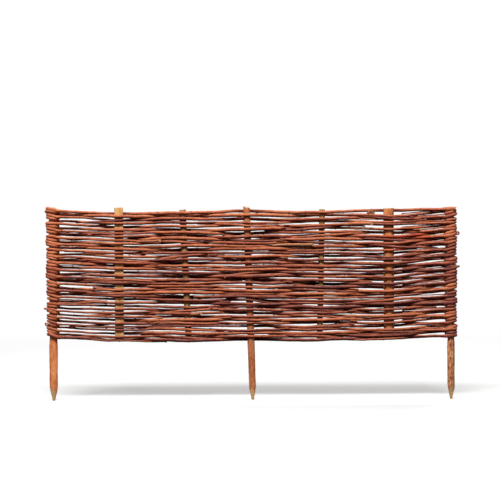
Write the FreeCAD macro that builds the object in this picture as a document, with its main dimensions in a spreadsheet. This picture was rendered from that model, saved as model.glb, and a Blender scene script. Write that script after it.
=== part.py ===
"""Woven willow hurdle: three driven posts, four stakes between them, and willow rods woven in and out.

Every rod runs along one course, in front of one upright and behind the next. Its thin end is wound one and a
half turns round an end post and tucked back behind an upright, where the thick end of the next rod starts.
The origin is on the centre post's axis at the ground line. +Z is up, and the front of the hurdle faces -Y.
"""

import FreeCAD
import Part
import os
import random
from collections import namedtuple
from math import cos, pi, radians, sin, tan

# Driving sizes: millimetres, degrees for a lean, and one plain count. A stub stands above the level of the
# highest wrap. The weave hangs lower between the end posts, so the shorter stakes end a little below it
SIZES = (
    ("upright_pitch", 194.0),
    ("right_inner_stake_shift", 8.0),
    ("right_outer_stake_shift", 13.0),
    ("leg_length", 140.0),
    ("point_length", 42.0),
    ("point_width", 6.0),
    ("left_post_diameter", 25.0),
    ("centre_post_diameter", 21.0),
    ("right_post_diameter", 22.0),
    ("post_taper", 2.5),
    ("post_shoulder", 8.0),
    ("weave_hem", 12.0),
    ("left_outer_stake_width", 26.0),
    ("left_inner_stake_width", 19.0),
    ("right_inner_stake_width", 17.0),
    ("right_outer_stake_width", 31.0),
    ("left_post_stub", 3.5),
    ("left_outer_stake_stub", 3.0),
    ("left_inner_stake_stub", -4.0),
    ("centre_post_stub", 1.5),
    ("right_inner_stake_stub", -5.0),
    ("right_outer_stake_stub", -3.0),
    ("right_post_stub", 0.5),
    ("stake_foot", 7.0),
    ("centre_post_lean", -1.6),
    ("left_inner_stake_lean", -2.4),
    ("right_inner_stake_lean", 1.4),
    ("course_count", 39),
    ("course_gap", 0.83),
    ("rod_diameter", 9.8),
    ("rod_tip_diameter", 8.0),
    ("rod_overhang", 4.0),
    ("rod_end_gap", 3.0),
    ("seat_clearance", 0.15),
    ("crossing_clearance", 0.5),
    ("sag_left", 8.0),
    ("sag_right", 15.0),
    ("edge_sag_right", 4.5),
    ("course_swing", 5.0),
    ("course_wander", 1.2),
)

# Forms that stay as they are when a size changes
ROD_SIDES = 6
FLAT_TO_CORNER = cos(pi / ROD_SIDES)
WRAP_CORNERS_PER_TURN = 8
WRAP_TURNS = 1.5
WRAP_PITCH_SHARE = 0.87
WRAP_THICKNESS_SHARE = 0.85
THINNEST_ROD_SHARE = 0.92
EDGE_SWING_SHARE = 0.15
SETTLING_PASSES = 200
WEAVE_SEED = 7
UP = FreeCAD.Vector(0, 0, 1)

doc = FreeCAD.newDocument("willow_hurdle")


def size_sheet():
    """The driving sizes, one named cell each."""
    sheet = doc.addObject("Spreadsheet::Sheet", "sizes")
    for row, (alias, value) in enumerate(SIZES, start=1):
        sheet.set(f"A{row}", alias)
        sheet.set(f"B{row}", str(value))
        sheet.setAlias(f"B{row}", alias)
    doc.recompute()
    return sheet


sizes = size_sheet()
course_count = int(sizes.course_count)
course_pitch = (sizes.rod_diameter + sizes.rod_tip_diameter) / 2 + sizes.course_gap
weave_bottom = sizes.leg_length
weave_height = course_count * course_pitch
weave_middle = weave_bottom + weave_height / 2
wrap_climb = WRAP_TURNS * WRAP_PITCH_SHARE * course_pitch

# The same lengths as expressions on the sheet
COURSE_PITCH = "((sizes.rod_diameter + sizes.rod_tip_diameter) / 2 + sizes.course_gap)"
WEAVE_HEIGHT = f"sizes.course_count * {COURSE_PITCH}"
STAKE_BELOW_MIDDLE = f"({WEAVE_HEIGHT} / 2 + sizes.stake_foot)"


def bound(kind, name, **expressions):
    """A document object whose properties follow the sheet. A double underscore stands for a dot."""
    made = doc.addObject(kind, name)
    for prop, expression in expressions.items():
        made.setExpression(prop.replace("__", "."), expression)
    return made


def turned(axis, degrees):
    return FreeCAD.Placement(FreeCAD.Vector(), FreeCAD.Rotation(FreeCAD.Vector(*axis), degrees))


# Posts: round poles with their bark on. A post has a thicker leg that thins to the woven part just below the
# weave, a sawn top, and a four-sided point that is cut with an axe below the ground line
def post(name, place, lean=None):
    radius = f"sizes.{name}_diameter / 2"
    half_tip = "sizes.point_width / 2"
    woven_radius = f"{radius} - sizes.post_taper / 2"
    even_length = "sizes.leg_length - sizes.weave_hem - sizes.post_shoulder"
    leg = bound("Part::Cylinder", f"{name}_leg", Radius=radius, Height=even_length)
    shoulder = bound(
        "Part::Cone",
        f"{name}_shoulder",
        Radius1=radius,
        Radius2=woven_radius,
        Height="sizes.post_shoulder",
        Placement__Base__z=even_length,
    )
    pole = bound(
        "Part::Cylinder",
        f"{name}_pole",
        Radius=woven_radius,
        Height=f"sizes.weave_hem + {WEAVE_HEIGHT} + sizes.{name}_stub",
        Placement__Base__z="sizes.leg_length - sizes.weave_hem",
    )
    blank = bound(
        "Part::Cone",
        f"{name}_point_blank",
        Radius1=woven_radius,
        Radius2=radius,
        Height="sizes.point_length",
        Placement__Base__z="-sizes.point_length",
    )
    cuts = bound(
        "Part::Wedge",
        f"{name}_point_cuts",
        Xmin=f"-{radius}",
        Xmax=radius,
        Zmin=f"-{radius}",
        Zmax=radius,
        Ymax="sizes.point_length",
        X2min=f"-{half_tip}",
        X2max=half_tip,
        Z2min=f"-{half_tip}",
        Z2max=half_tip,
    )
    cuts.Placement = turned((1, 0, 0), -90)
    point = doc.addObject("Part::Common", f"{name}_point")
    point.Base = blank
    point.Tool = cuts
    whole = doc.addObject("Part::MultiFuse", name)
    whole.Shapes = [point, leg, shoulder, pole]
    whole.Refine = True
    whole.Placement = turned((0, 1, 0), 0)
    whole.setExpression("Placement.Base.x", f"{place} * sizes.upright_pitch")
    if lean:
        whole.setExpression("Placement.Rotation.Angle", f"sizes.{lean}")
    return whole


# Stakes: short sticks that end with the weave, two of them round and two split down the middle. The two on
# the right stand a little off the even pitch
def along(place, shift=None):
    """Where an upright stands along the hurdle: some pitches from the centre, and a shift from there."""
    even = f"{place} * sizes.upright_pitch"
    return f"{even} + sizes.{shift}" if shift else even


def round_stake(name, place, lean, shift=None):
    angle = f"sizes.{lean}"
    stake = bound(
        "Part::Cylinder",
        name,
        Radius=f"sizes.{name}_width / 2",
        Height=f"sizes.stake_foot + {WEAVE_HEIGHT} + sizes.{name}_stub",
    )
    stake.Placement = turned((0, 1, 0), 0)
    stake.setExpression("Placement.Rotation.Angle", angle)
    stake.setExpression("Placement.Base.x", f"{along(place, shift)} - sin({angle}) * {STAKE_BELOW_MIDDLE}")
    stake.setExpression(
        "Placement.Base.z",
        f"sizes.leg_length + {WEAVE_HEIGHT} / 2 - cos({angle}) * {STAKE_BELOW_MIDDLE}",
    )
    return stake


def split_stake(name, place, split_face, shift=None):
    """Half of a round stick. Its flat split face looks to the front (-1) or to the back (1)."""
    stake = bound(
        "Part::Cylinder",
        name,
        Radius=f"sizes.{name}_width / 2",
        Height=f"sizes.stake_foot + {WEAVE_HEIGHT} + sizes.{name}_stub",
    )
    stake.Angle = 180
    stake.Placement = turned((0, 0, 1), 0 if split_face < 0 else 180)
    stake.setExpression("Placement.Base.x", along(place, shift))
    stake.setExpression("Placement.Base.y", f"{split_face} * sizes.{name}_width / 4")
    stake.setExpression("Placement.Base.z", "sizes.leg_length - sizes.stake_foot")
    return stake


upright_solids = [
    post("left_post", -3),
    split_stake("left_outer_stake", -2, split_face=-1),
    round_stake("left_inner_stake", -1, lean="left_inner_stake_lean"),
    post("centre_post", 0, lean="centre_post_lean"),
    round_stake("right_inner_stake", 1, lean="right_inner_stake_lean", shift="right_inner_stake_shift"),
    split_stake("right_outer_stake", 2, split_face=1, shift="right_outer_stake_shift"),
    post("right_post", 3),
]

# What a rod needs to know of each upright, from left to right: its place, its lean and the height it leans
# about, and its width and depth
Upright = namedtuple("Upright", "x lean pivot_height width depth")


def post_seat(place, leg_diameter, lean=0.0):
    diameter = leg_diameter - sizes.post_taper
    return Upright(place * sizes.upright_pitch, lean, 0.0, diameter, diameter)


def round_seat(place, diameter, lean, shift=0.0):
    return Upright(place * sizes.upright_pitch + shift, lean, weave_middle, diameter, diameter)


def split_seat(place, width, shift=0.0):
    return Upright(place * sizes.upright_pitch + shift, 0.0, weave_middle, width, width / 2)


uprights = [
    post_seat(-3, sizes.left_post_diameter),
    split_seat(-2, sizes.left_outer_stake_width),
    round_seat(-1, sizes.left_inner_stake_width, sizes.left_inner_stake_lean),
    post_seat(0, sizes.centre_post_diameter, sizes.centre_post_lean),
    round_seat(1, sizes.right_inner_stake_width, sizes.right_inner_stake_lean, sizes.right_inner_stake_shift),
    split_seat(2, sizes.right_outer_stake_width, sizes.right_outer_stake_shift),
    post_seat(3, sizes.right_post_diameter),
]
LAST = len(uprights) - 1
MIDDLE = LAST // 2


# The route of a rod: along one course to an end post, round it, and a way back along the course above
def course_side(course, index):
    """-1 where a course passes in front of an upright, 1 where it passes behind."""
    return -1 if (course + index) % 2 == 0 else 1


def joint_index(course):
    """The upright that hides the joint between two rods on a course. The outermost courses end at a post."""
    if course == 0:
        return 0
    if course == course_count - 1:
        return 0 if course % 2 else LAST
    behind = (4, 4, 2) if course % 2 else (1, 1, 3)
    return behind[course // 2 % len(behind)]


def rod_stations(number):
    """(course, upright) pairs from the butt to the tip, in two lists that meet at the end post."""
    step = 1 if number % 2 == 0 else -1
    end_post = LAST if step > 0 else 0
    out = [(number, i) for i in range(joint_index(number), end_post + step, step)]
    back = [(number + 1, i) for i in range(end_post, joint_index(number + 1) - step, -step)]
    return out, back


rod_numbers = range(course_count - 1)
random_rod = random.Random(WEAVE_SEED)
rod_sizes = {number: random_rod.uniform(THINNEST_ROD_SHARE, 1.0) for number in rod_numbers}


def rod_radii(number):
    """Half the rod's thickness at each station, from the butt to the tip. It is thinner where it is wound."""
    out, back = rod_stations(number)
    last = len(out) + len(back) - 1
    radii = {}
    for n, station in enumerate(out + back):
        diameter = sizes.rod_diameter + (sizes.rod_tip_diameter - sizes.rod_diameter) * n / last
        radii[station] = rod_sizes[number] * diameter / 2
        if station in (out[-1], back[0]):
            radii[station] *= WRAP_THICKNESS_SHARE
    return radii


def spacing_needed(span):
    """How far each course's middle must be above the one below, where the two cross between two uprights."""
    thickest = [0.0] * course_count
    for number in rod_numbers:
        for (course, index), radius in rod_radii(number).items():
            if index in (span, span + 1):
                thickest[course] = max(thickest[course], radius)
    return [low + high + sizes.crossing_clearance for low, high in zip(thickest, thickest[1:])]


def sag(index, inside):
    """How far a course hangs below its wraps on the end posts, at an upright between them.

    It hangs alike all the way up on the left. On the right it hangs most in the middle of the weave, where
    inside is 1, and least along the weave's edges, where it is 0.
    """
    if index in (0, LAST):
        return 0.0
    right = sizes.edge_sag_right + (sizes.sag_right - sizes.edge_sag_right) * inside
    return sizes.sag_left + (right - sizes.sag_left) * (index - 1) / (LAST - 2)


def loose_heights():
    """Each course's height at each upright, before the courses are pressed apart to lie on each other."""
    wander = random.Random(WEAVE_SEED)
    heights = []
    for course in range(course_count):
        share = (course + 0.5) / course_count
        inside = 4 * share * (1 - share)
        largest_swing = sizes.course_swing * (EDGE_SWING_SHARE + (1 - EDGE_SWING_SHARE) * inside)
        swing = wander.triangular(-largest_swing, largest_swing)
        row = []
        for index in range(LAST + 1):
            side = course_side(course, index)
            height = weave_bottom + (course + 0.5) * course_pitch - sag(index, inside)
            height += side * (index - MIDDLE) / MIDDLE * (wrap_climb - course_pitch) / 2
            if index not in (0, LAST):
                height += side * swing + wander.uniform(-sizes.course_wander, sizes.course_wander)
            row.append(height)
        heights.append(row)
    return heights


def settle(heights):
    """Press courses that cross too close apart. Their heights at the end posts stay."""
    needed = [spacing_needed(span) for span in range(LAST)]
    reach = [seat.depth + sizes.rod_diameter for seat in uprights]
    for _ in range(SETTLING_PASSES):
        for course in range(1, course_count):
            lower, upper = heights[course - 1], heights[course]
            for span in range(LAST):
                crossing_at = reach[span] / (reach[span] + reach[span + 1])
                shares = {span: 1 - crossing_at, span + 1: crossing_at}
                apart = sum((upper[index] - lower[index]) * share for index, share in shares.items())
                free = {index: share for index, share in shares.items() if index not in (0, LAST)}
                press = max(0.0, needed[span][course - 1] - apart) / (2 * sum(free.values()))
                for index in free:
                    upper[index] += press
                    lower[index] -= press
    return heights


heights = settle(loose_heights())


def crossing(station, radius, step):
    """The flat stretch of a rod against an upright, as its two ends and the middle between them."""
    course, index = station
    seat = uprights[index]
    height = heights[course][index]
    x = seat.x + tan(radians(seat.lean)) * (height - seat.pivot_height)
    y = course_side(course, index) * (seat.depth / 2 + radius / FLAT_TO_CORNER + sizes.seat_clearance)
    reach = FreeCAD.Vector(step * seat.width / 2, 0, 0)
    middle = FreeCAD.Vector(x, y, height)
    return middle - reach, middle, middle + reach


def wrap(number, radius, step):
    """The corners of a rod's turns round its end post, from the course that arrives to the one above."""
    arrives = rod_stations(number)[0][-1]
    entry, middle, _ = crossing(arrives, radius, step)
    corner_angle = 2 * pi / WRAP_CORNERS_PER_TURN
    out_to_corner = abs(middle.y) / cos(corner_angle / 2)
    start = -pi / 2 if middle.y < 0 else pi / 2
    corners = [entry]
    for n in range(int(WRAP_TURNS * WRAP_CORNERS_PER_TURN)):
        turn = (n + 0.5) * corner_angle
        corners.append(
            FreeCAD.Vector(
                middle.x + out_to_corner * cos(start + turn),
                out_to_corner * sin(start + turn),
                middle.z + wrap_climb * turn / (2 * pi * WRAP_TURNS),
            )
        )
    corners.append(FreeCAD.Vector(entry.x, -entry.y, middle.z + wrap_climb))
    return corners


def rod_line(number):
    """The rod's centre line as straight runs: (corner, radius) from its butt to its tip."""
    out, back = rod_stations(number)
    radii = rod_radii(number)
    step = 1 if number % 2 == 0 else -1
    past_joint = FreeCAD.Vector(step * sizes.rod_end_gap / 2, 0, 0)
    overhang = FreeCAD.Vector(step * sizes.rod_overhang, 0, 0)
    line = []
    for station in out[:-1]:
        near, middle, far = crossing(station, radii[station], step)
        if station == out[0]:
            near = near - overhang if station[1] == 0 else middle + past_joint
        line += [(near, radii[station]), (far, radii[station])]
    line += [(corner, radii[out[-1]]) for corner in wrap(number, radii[out[-1]], step)]
    for station in back[1:]:
        near, middle, far = crossing(station, radii[station], -step)
        if station == back[-1]:
            far = far - overhang if station[1] in (0, LAST) else middle + past_joint
        line += [(near, radii[station]), (far, radii[station])]
    return line


def flat_face(*outline):
    return Part.Face(Part.makePolygon(outline + outline[:1]))


def rod_shape(line):
    """A solid with six flat sides along each run, and a section that stands upright across each corner."""
    corners = [corner for corner, _ in line]
    runs = [FreeCAD.Vector(b.x - a.x, b.y - a.y, 0).normalize() for a, b in zip(corners, corners[1:])]
    sections = []
    for before, after, (corner, radius) in zip(runs[:1] + runs, runs + runs[-1:], line):
        to_corner = radius / FLAT_TO_CORNER
        mitre = (before + after).normalize()
        across = mitre.cross(UP) * (to_corner / mitre.dot(after))
        upward = UP * to_corner
        angles = [2 * pi * side / ROD_SIDES for side in range(ROD_SIDES)]
        sections.append([corner + across * cos(angle) + upward * sin(angle) for angle in angles])
    skin = [flat_face(*sections[0]), flat_face(*sections[-1])]
    for near, far in zip(sections, sections[1:]):
        for side in range(ROD_SIDES):
            skin.append(flat_face(near[side - 1], near[side], far[side]))
            skin.append(flat_face(near[side - 1], far[side], far[side - 1]))
    return Part.Solid(Part.Shell(skin))


def willow_rod(number):
    rod = doc.addObject("Part::Feature", f"willow_rod_{number + 1:02d}")
    rod.Shape = rod_shape(rod_line(number))
    return rod


subparts = upright_solids + [willow_rod(number) for number in rod_numbers]
doc.recompute()

# Every object has to be sound before anything is written
for made in doc.Objects:
    if {"Invalid", "Error"} & set(made.State):
        raise RuntimeError(f"{made.Label} failed: {made.State}")
for made in subparts:
    if made.Shape.isNull() or not made.Shape.isValid():
        raise RuntimeError(f"{made.Label} has no valid shape")

os.makedirs("parts", exist_ok=True)
for made in subparts:
    made.Shape.exportStep(f"parts/{made.Label}.step")
print(f"{len(subparts)} sub-parts, weave {weave_bottom:.0f} to {weave_bottom + weave_height:.0f} mm")
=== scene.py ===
"""Woven willow hurdle: driven posts, short stakes and willow rods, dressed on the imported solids."""
import bmesh
import bpy
import random
from math import copysign, cos, exp, hypot, pi, radians, sin, sqrt, tau
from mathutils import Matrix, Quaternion, Vector, noise


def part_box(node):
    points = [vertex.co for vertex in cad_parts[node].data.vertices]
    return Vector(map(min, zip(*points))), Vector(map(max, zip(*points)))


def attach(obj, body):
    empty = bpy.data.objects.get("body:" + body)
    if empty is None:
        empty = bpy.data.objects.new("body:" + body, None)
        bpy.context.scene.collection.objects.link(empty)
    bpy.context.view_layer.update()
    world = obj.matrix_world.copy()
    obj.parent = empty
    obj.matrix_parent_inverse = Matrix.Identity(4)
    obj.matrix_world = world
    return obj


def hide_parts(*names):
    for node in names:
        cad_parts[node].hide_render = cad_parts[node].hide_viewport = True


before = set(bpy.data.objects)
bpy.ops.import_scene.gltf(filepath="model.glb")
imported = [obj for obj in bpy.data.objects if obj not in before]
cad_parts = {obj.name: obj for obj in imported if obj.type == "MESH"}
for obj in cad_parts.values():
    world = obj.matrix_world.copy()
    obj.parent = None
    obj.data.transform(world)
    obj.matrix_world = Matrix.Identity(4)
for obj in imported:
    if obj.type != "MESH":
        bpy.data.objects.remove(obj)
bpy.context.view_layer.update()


# Posts: three willow poles that are driven into the ground and carry the hurdle. Each keeps its bark, is
# sawn off on top, thins where it goes into the weave, and is cut with an axe to a pale four-sided point.
POST_POINT = 0.042
POST_TIP = 0.003
POST_CROOK = 0.0009
POST_LUMPS = 0.0005
FOOT_SHARE, FOOT_SWELL, FOOT_HEIGHT = 0.94, 0.06, 0.13
WEAVE_START, WEAVE_TAPER = 0.160, 0.022
PALE_WOOD = (0.66, 0.43, 0.20, 1)
HEARTWOOD = (0.44, 0.23, 0.085, 1)


def add(tree, kind, inputs=None, **settings):
    """A node with its settings made and its inputs set, or linked where the value is a socket."""
    node = tree.nodes.new(kind)
    for key, value in settings.items():
        setattr(node, key, value)
    for key, value in (inputs or {}).items():
        by_place = isinstance(key, int)
        socket = node.inputs[key] if by_place else next(s for s in node.inputs if s.identifier == key)
        if isinstance(value, bpy.types.NodeSocket):
            tree.links.new(value, socket)
        else:
            socket.default_value = value
    return node


def maths(tree, operation, first, second=0.0):
    return add(tree, "ShaderNodeMath", {0: first, 1: second}, operation=operation).outputs[0]


def times(tree, first, second):
    return maths(tree, "MULTIPLY", first, second)


def plus(tree, first, second):
    return maths(tree, "ADD", first, second)


def between(tree, value, low, high, to_low=0.0, to_high=1.0):
    """The value spread smoothly from one range to another."""
    spread = {"Value": value, "From Min": low, "From Max": high, "To Min": to_low, "To Max": to_high}
    return add(tree, "ShaderNodeMapRange", spread, interpolation_type="SMOOTHSTEP").outputs[0]


def scaled(tree, vector, scale):
    return add(tree, "ShaderNodeVectorMath", {0: vector, 1: scale}, operation="MULTIPLY").outputs[0]


def cloudy(tree, vector, detail=3.0, roughness=0.55, distortion=0.0):
    """A noise value over the vector, about 0.3 to 0.7."""
    look = {"Detail": detail, "Roughness": roughness, "Distortion": distortion}
    return add(tree, "ShaderNodeTexNoise", {"Vector": vector, "Scale": 1.0, **look}).outputs["Fac"]


def tinted(tree, factor, first, second, blend="MIX"):
    inputs = {"Factor_Float": factor, "A_Color": first, "B_Color": second}
    node = add(tree, "ShaderNodeMix", inputs, data_type="RGBA", blend_type=blend)
    return next(s for s in node.outputs if s.identifier == "Result_Color")


def attribute(tree, name, kind="Fac"):
    return add(tree, "ShaderNodeAttribute", attribute_name=name).outputs[kind]


def tone_ramp(tree, factor, stops):
    """A colour picked from stops of (place, colour)."""
    node = add(tree, "ShaderNodeValToRGB", {"Fac": factor})
    ramp = node.color_ramp
    while len(ramp.elements) < len(stops):
        ramp.elements.new(0.5)
    for element, (place, colour) in zip(ramp.elements, stops):
        element.position = place
        element.color = colour
    return node.outputs["Color"]


def shader_group(name, inputs, outputs):
    """An empty node group with named sockets, and its two end nodes."""
    tree = bpy.data.node_groups.new(name, "ShaderNodeTree")
    for socket, (kind, value) in inputs.items():
        made = tree.interface.new_socket(socket, in_out="INPUT", socket_type=kind)
        if value is not None:
            made.default_value = value
    for socket, kind in outputs.items():
        tree.interface.new_socket(socket, in_out="OUTPUT", socket_type=kind)
    return tree, tree.nodes.new("NodeGroupInput").outputs, tree.nodes.new("NodeGroupOutput").inputs


def willow_bark_group():
    """Streaks, patches, flecks, pores and cracks of bark, on a place whose Z runs along the stick."""
    value = "NodeSocketFloat"
    tree, given, result = shader_group(
        "willow bark",
        {"Place": ("NodeSocketVector", None), "Pores": (value, 0.5), "Cracks": (value, 0.0)},
        dict.fromkeys(("Streaks", "Patches", "Flecks", "Pores", "Cracks", "Relief"), value),
    )
    streaks = cloudy(tree, scaled(tree, given["Place"], (700, 700, 46)), 4, 0.6)
    patches = cloudy(tree, scaled(tree, given["Place"], (55, 55, 17)), 3, 0.5, 0.4)
    flecks = cloudy(tree, scaled(tree, given["Place"], (210, 210, 80)), 2, 0.5, 0.3)
    pore_place = scaled(tree, given["Place"], (420, 420, 300))
    pore_cells = add(tree, "ShaderNodeTexVoronoi", {"Vector": pore_place, "Scale": 1.0})
    pore_spots = between(tree, pore_cells.outputs["Distance"], 0.34, 0.16)
    pore_kept = add(tree, "ShaderNodeSeparateColor", {"Color": pore_cells.outputs["Color"]}).outputs[0]
    pore_share = maths(tree, "LESS_THAN", pore_kept, given["Pores"])
    pores = times(tree, pore_spots, pore_share)
    crack_place = scaled(tree, given["Place"], (260, 260, 34))
    crack_cells = add(
        tree, "ShaderNodeTexVoronoi", {"Vector": crack_place, "Scale": 1.0}, feature="DISTANCE_TO_EDGE"
    )
    crack_lines = between(tree, crack_cells.outputs["Distance"], 0.16, 0.0)
    crack_zone = between(tree, patches, 0.42, 0.6)
    cracks = times(tree, times(tree, crack_lines, crack_zone), given["Cracks"])
    raised = plus(tree, streaks, times(tree, pores, 0.5))
    height = maths(tree, "SUBTRACT", raised, cracks)
    marks = {
        "Streaks": streaks, "Patches": patches, "Flecks": flecks, "Pores": pores, "Cracks": cracks,
        "Relief": height,
    }
    for name, socket in marks.items():
        tree.links.new(socket, result[name])
    return tree


RING_TURNS = 3900.0
RING_SHARE, FIBRE_SHARE = 0.45, 0.55


def cut_wood_group():
    """Bare willow wood: growth rings round the heart, and fibres along the stick."""
    value = "NodeSocketFloat"
    tree, given, result = shader_group(
        "cut willow wood",
        {"Place": ("NodeSocketVector", None), "From Heart": (value, 0.0)},
        {"Grain": value, "Stain": value, "Relief": value},
    )
    fibres = cloudy(tree, scaled(tree, given["Place"], (900, 900, 30)), 4, 0.65)
    stain = cloudy(tree, scaled(tree, given["Place"], (90, 90, 40)), 3, 0.5)
    wavy = times(tree, stain, 3.0)
    turns = plus(tree, times(tree, given["From Heart"], RING_TURNS), wavy)
    rings = between(tree, maths(tree, "SINE", turns), -1.0, 1.0)
    ring_part = times(tree, rings, RING_SHARE)
    grain = plus(tree, ring_part, times(tree, fibres, FIBRE_SHARE))
    for name, socket in (("Grain", grain), ("Stain", stain), ("Relief", grain)):
        tree.links.new(socket, result[name])
    return tree


BARK = willow_bark_group()
CUT_WOOD = cut_wood_group()
BLOTCH_SHARE, FLECK_SHARE, STREAK_SHARE = 0.36, 0.42, 0.22
CRACK_COLOUR = (0.045, 0.016, 0.009, 1)
PORE_STRENGTH = 0.7
STAIN_STRENGTH = 0.8
RAGGED_EDGE = 1.1


def stick_material(name, dark, middle, light, pores, cracks, pore_colour, wood=PALE_WOOD, heart=HEARTWOOD):
    """Bark over bare wood. The stick's attributes say where its wood is bare and how far the heart is."""
    material = bpy.data.materials.new(name)
    material.use_nodes = True
    tree = material.node_tree
    shader = tree.nodes["Principled BSDF"]
    place = add(tree, "ShaderNodeTexCoord").outputs["Object"]
    bark = add(tree, "ShaderNodeGroup", node_tree=BARK)
    tree.links.new(place, bark.inputs["Place"])
    bark.inputs["Pores"].default_value = pores
    bark.inputs["Cracks"].default_value = cracks
    blotch = times(tree, bark.outputs["Patches"], BLOTCH_SHARE)
    spotted = plus(tree, blotch, times(tree, bark.outputs["Flecks"], FLECK_SHARE))
    shade = plus(tree, spotted, times(tree, bark.outputs["Streaks"], STREAK_SHARE))
    bark_colour = tone_ramp(tree, shade, [(0.40, dark), (0.50, middle), (0.60, light)])
    pore_marks = times(tree, bark.outputs["Pores"], PORE_STRENGTH)
    bark_colour = tinted(tree, pore_marks, bark_colour, pore_colour)
    bark_colour = tinted(tree, bark.outputs["Cracks"], bark_colour, CRACK_COLOUR)
    cut = add(tree, "ShaderNodeGroup", node_tree=CUT_WOOD)
    tree.links.new(place, cut.inputs["Place"])
    tree.links.new(attribute(tree, "from_heart"), cut.inputs["From Heart"])
    wood_colour = tone_ramp(tree, cut.outputs["Grain"], [(0.3, heart), (0.62, wood)])
    stained = times(tree, between(tree, cut.outputs["Stain"], 0.47, 0.62), STAIN_STRENGTH)
    wood_colour = tinted(tree, stained, wood_colour, heart)
    streak_drift = maths(tree, "SUBTRACT", bark.outputs["Streaks"], 0.5)
    ragged = times(tree, streak_drift, RAGGED_EDGE)
    torn = plus(tree, attribute(tree, "bare"), ragged)
    bare = between(tree, torn, 0.42, 0.58)
    tree.links.new(tinted(tree, bare, bark_colour, wood_colour), shader.inputs["Base Color"])
    tree.links.new(between(tree, bark.outputs["Streaks"], 0.3, 0.7, 0.72, 0.5), shader.inputs["Roughness"])
    bark_height = times(tree, bark.outputs["Relief"], maths(tree, "SUBTRACT", 1.0, bare))
    wood_height = times(tree, cut.outputs["Relief"], times(tree, bare, 0.5))
    height = plus(tree, bark_height, wood_height)
    shader.inputs["Specular IOR Level"].default_value = 0.15
    bump = add(tree, "ShaderNodeBump", {"Strength": 0.55, "Distance": 0.0007, "Height": height})
    tree.links.new(bump.outputs["Normal"], shader.inputs["Normal"])
    return material


STICK_SIDES = 48
STICK_RING_SPACING = 0.003
END_RIM = 0.0006
END_RINGS = (0.97, 0.7, 0.42, 0.18)
TORN_ZONE = 0.024
FIBRES_PER_METRE = 210
BENDS_PER_METRE = 4
BARK_THICKNESS = 0.0012


def stick_mesh(
    name, foot, top, girth, relief, cuts, middle=(0.0, 0.0), crook=0.0, tilt=0.0, torn=0.0, seed=0
):
    """A stick from foot to top. Each section is the round of the bark, cut off by its flat cuts.

    girth(along) is the bark's radius, relief(angle, along) stands out from it, and cuts(along) lists the
    flat cuts as (facing angle, distance from the heart). The middle is the section's own middle, off the
    heart. The top slopes by tilt, and its fibres are torn up or down by as much as torn.
    """
    length = (top - foot).length
    axis = (top - foot).normalized()
    across = axis.cross(Vector((0, 1, 0))).normalized() * -1
    inward = axis.cross(across)
    middle = Vector(middle)
    mesh = bmesh.new()
    bare = mesh.verts.layers.float.new("bare")
    from_heart = mesh.verts.layers.float.new("from_heart")

    def put(local, along, depth):
        way = along * BENDS_PER_METRE
        bend = Vector((noise.noise((way, seed, 0)), noise.noise((way, seed, 9)))) * crook
        near_top = max(0.0, 1 - (length - along) / TORN_ZONE)
        fibre = noise.noise((local.x * FIBRES_PER_METRE, local.y * FIBRES_PER_METRE, seed))
        slope = near_top * (tilt * local.x + torn * fibre)
        bent = local + bend * sin(pi * along / length)
        vertex = mesh.verts.new(foot + axis * (along + slope) + across * bent.x + inward * bent.y)
        vertex[bare] = depth
        vertex[from_heart] = local.length
        return vertex

    def edge(angle, along):
        """Where the section ends in this direction, and how far under the bark that is."""
        way = Vector((cos(angle), sin(angle)))
        radius = girth(along) + relief(angle, along)
        into = middle.dot(way)
        to_bark = -into + sqrt(max(0.0, into * into - middle.length_squared + radius * radius))
        reach = to_bark
        for facing, distance in cuts(along):
            out = Vector((cos(facing), sin(facing)))
            if out.dot(way) > 1e-4:
                reach = min(reach, (distance - out.dot(middle)) / out.dot(way))
        return middle + way * reach, to_bark - reach

    def ring(along, share=1.0, lift=0.0, depth=None):
        made = []
        for side in range(STICK_SIDES):
            local, under = edge(tau * side / STICK_SIDES, along)
            shown = min(1.0, max(0.0, under / BARK_THICKNESS)) if depth is None else depth
            made.append(put(middle + (local - middle) * share, along + lift, shown))
        return made

    def end(along, outward):
        caps = [ring(along, share, outward * END_RIM, 1.0) for share in END_RINGS]
        return caps, put(middle.copy(), along + outward * END_RIM, 1.0)

    count = max(2, round(length / STICK_RING_SPACING))
    foot_rings, foot_middle = end(0.0, -1)
    top_rings, top_middle = end(length, 1)
    rings = foot_rings[::-1] + [ring(length * n / count) for n in range(count + 1)] + top_rings
    for low, high in zip(rings, rings[1:]):
        for side in range(STICK_SIDES):
            mesh.faces.new((low[side - 1], low[side], high[side], high[side - 1]))
    for side in range(STICK_SIDES):
        mesh.faces.new((foot_middle, rings[0][side], rings[0][side - 1]))
        mesh.faces.new((top_middle, rings[-1][side - 1], rings[-1][side]))
    bmesh.ops.recalc_face_normals(mesh, faces=mesh.faces)
    made = bpy.data.meshes.new(name)
    mesh.to_mesh(made)
    mesh.free()
    made.shade_smooth()
    made.set_sharp_from_angle(angle=radians(38))
    stick = bpy.data.objects.new(name, made)
    bpy.context.scene.collection.objects.link(stick)
    return stick


KNOT_REACH_ROUND = 0.011
KNOT_REACH_ALONG = 0.7
KNOT_DIP, KNOT_DIP_WIDTH = 0.55, 0.35


def bark_relief(seed, lumps, knots):
    """How far the bark stands out: slow lumps, and knots as (height along, angle, width, how far out)."""
    def relief(angle, along):
        place = Vector((cos(angle) * 1.3, sin(angle) * 1.3, along * 30 + seed * 17.0))
        out = lumps * (noise.noise(place) + 0.4 * noise.noise(place * 2.7))
        for knot_along, knot_angle, width, height in knots:
            turned = (angle - knot_angle + pi) % tau - pi
            away = hypot(turned * KNOT_REACH_ROUND, (along - knot_along) * KNOT_REACH_ALONG)
            out += height * exp(-(away / width) ** 2)
            out -= KNOT_DIP * height * exp(-(away / (KNOT_DIP_WIDTH * width)) ** 2)
        return out
    return relief


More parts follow.
